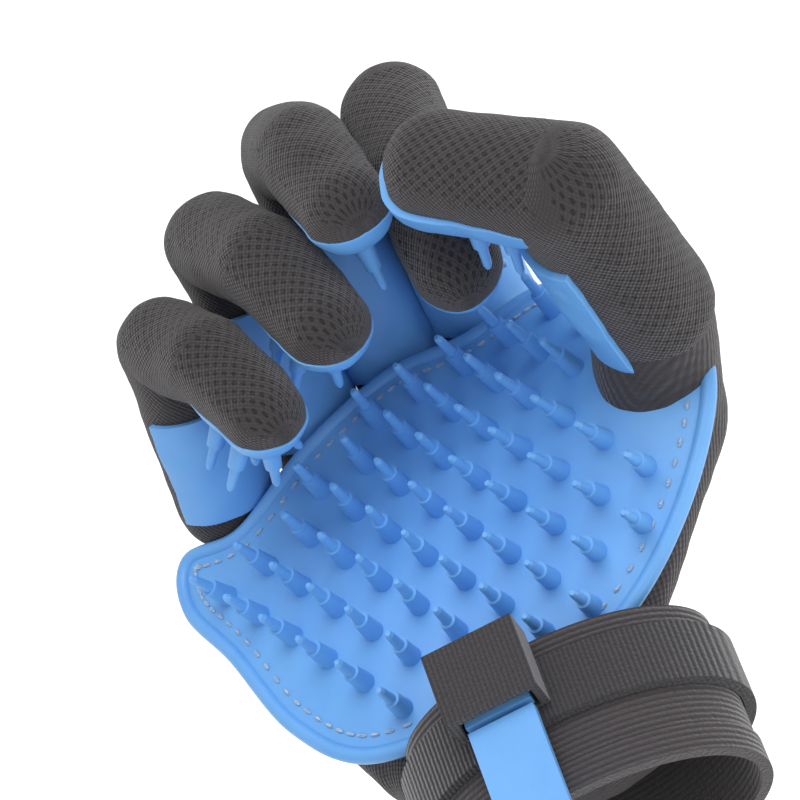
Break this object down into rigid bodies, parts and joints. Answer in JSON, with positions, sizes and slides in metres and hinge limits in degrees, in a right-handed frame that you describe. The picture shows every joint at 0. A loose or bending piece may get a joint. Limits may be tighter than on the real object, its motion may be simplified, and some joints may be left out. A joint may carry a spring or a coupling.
{
  "type": "grooming glove",
  "caption": "Five-finger pet grooming glove with a pinned rubber palm, mesh back, ribbed cuff and a wrist strap.",
  "frame": {"origin": "centre of the wrist opening", "axes": "+X to the thumb side, +Y to the fingertips, +Z out of the palm"},
  "size_m": [0.1188, 0.1714, 0.0992],
  "materials": {
    "blue_rubber": "matte",
    "mesh_fabric": "matte",
    "knit_fabric": "matte",
    "cuff_fabric": "matte",
    "loop_webbing": "matte",
    "hook_tape": "matte",
    "pile_tape": "matte"
  },
  "bodies": {
    "hand": {"cuff_hem": "cuff_fabric", "cuff_sleeve": "cuff_fabric", "hand_back_mesh": "mesh_fabric", "hand_side_knit": "knit_fabric", "keeper_loop": "loop_webbing", "palm_liner": "knit_fabric", "palm_pins": "blue_rubber", "palm_sheet": "blue_rubber", "pile_patch": "pile_tape", "strap_anchor": "blue_rubber", "wrist_strap": "loop_webbing"},
    "strap_tail_body": {"hook_patch": "hook_tape", "strap_tail": "blue_rubber"},
    "index_base": {"index_base_knit": "knit_fabric", "index_base_mesh": "mesh_fabric"},
    "index_tip": {"index_tip_knit": "knit_fabric", "index_tip_pad": "blue_rubber", "index_tip_pins": "blue_rubber"},
    "little_base": {"little_base_knit": "knit_fabric", "little_base_mesh": "mesh_fabric"},
    "little_tip": {"little_tip_knit": "knit_fabric", "little_tip_pad": "blue_rubber", "little_tip_pins": "blue_rubber"},
    "middle_base": {"middle_base_knit": "knit_fabric", "middle_base_mesh": "mesh_fabric"},
    "middle_tip": {"middle_tip_knit": "knit_fabric", "middle_tip_pad": "blue_rubber", "middle_tip_pins": "blue_rubber"},
    "ring_base": {"ring_base_knit": "knit_fabric", "ring_base_mesh": "mesh_fabric"},
    "ring_tip": {"ring_tip_knit": "knit_fabric", "ring_tip_pad": "blue_rubber", "ring_tip_pins": "blue_rubber"},
    "thumb_base": {"thumb_base_knit": "knit_fabric", "thumb_base_mesh": "mesh_fabric"},
    "thumb_tip": {"thumb_tip_knit": "knit_fabric", "thumb_tip_pad": "blue_rubber", "thumb_tip_pins": "blue_rubber"}
  },
  "joints": [
    {"name": "index_knuckle", "type": "hinge", "parent": "hand", "child": "index_base", "pos_m": [0.014, 0.122, -0.001], "axis": [0.996, 0.0174, -0.0872], "range_deg": [-60, 0]},
    {"name": "index_bend", "type": "hinge", "parent": "index_base", "child": "index_tip", "pos_m": [0.01721, 0.14294, 0.03983], "axis": [0.996, 0.0174, -0.0872], "range_deg": [-66, 0]},
    {"name": "middle_knuckle", "type": "hinge", "parent": "hand", "child": "middle_base", "pos_m": [-0.006, 0.124, -0.004], "axis": [0.9752, 0.172, -0.1392], "range_deg": [-60, 0]},
    {"name": "middle_bend", "type": "hinge", "parent": "middle_base", "child": "middle_tip", "pos_m": [-0.00447, 0.14864, 0.03716], "axis": [0.9752, 0.172, -0.1392], "range_deg": [-66, 0]},
    {"name": "ring_knuckle", "type": "hinge", "parent": "hand", "child": "ring_base", "pos_m": [-0.0272, 0.118, -0.003], "axis": [0.9213, 0.3172, -0.225], "range_deg": [-60, 0]},
    {"name": "ring_bend", "type": "hinge", "parent": "ring_base", "child": "ring_tip", "pos_m": [-0.02381, 0.137, 0.03765], "axis": [0.9213, 0.3172, -0.225], "range_deg": [-66, 0]},
    {"name": "little_knuckle", "type": "hinge", "parent": "hand", "child": "little_base", "pos_m": [-0.047, 0.108, 0.002], "axis": [0.8879, 0.3408, -0.309], "range_deg": [-60, 0]},
    {"name": "little_bend", "type": "hinge", "parent": "little_base", "child": "little_tip", "pos_m": [-0.04012, 0.1209, 0.03599], "axis": [0.8879, 0.3408, -0.309], "range_deg": [-66, 0]},
    {"name": "thumb_knuckle", "type": "hinge", "parent": "hand", "child": "thumb_base", "pos_m": [0.047, 0.081, 0.031], "axis": [-0.6691, -0.7431, 0], "range_deg": [-40, 0]},
    {"name": "thumb_bend", "type": "hinge", "parent": "thumb_base", "child": "thumb_tip", "pos_m": [0.04552, 0.08233, 0.06895], "axis": [-0.6691, -0.7431, 0], "range_deg": [-60, 0]},
    {"name": "strap_peel", "type": "hinge", "parent": "hand", "child": "strap_tail_body", "pos_m": [-0.007, 0.0172, 0.0248], "axis": [-1, 0, 0], "range_deg": [0, 90]}
  ],
  "couplings": [
    {"joint": "index_bend", "follows": "index_knuckle", "ratio": 1.1},
    {"joint": "middle_bend", "follows": "middle_knuckle", "ratio": 1.1},
    {"joint": "ring_bend", "follows": "ring_knuckle", "ratio": 1.1},
    {"joint": "little_bend", "follows": "little_knuckle", "ratio": 1.1}
  ]
}
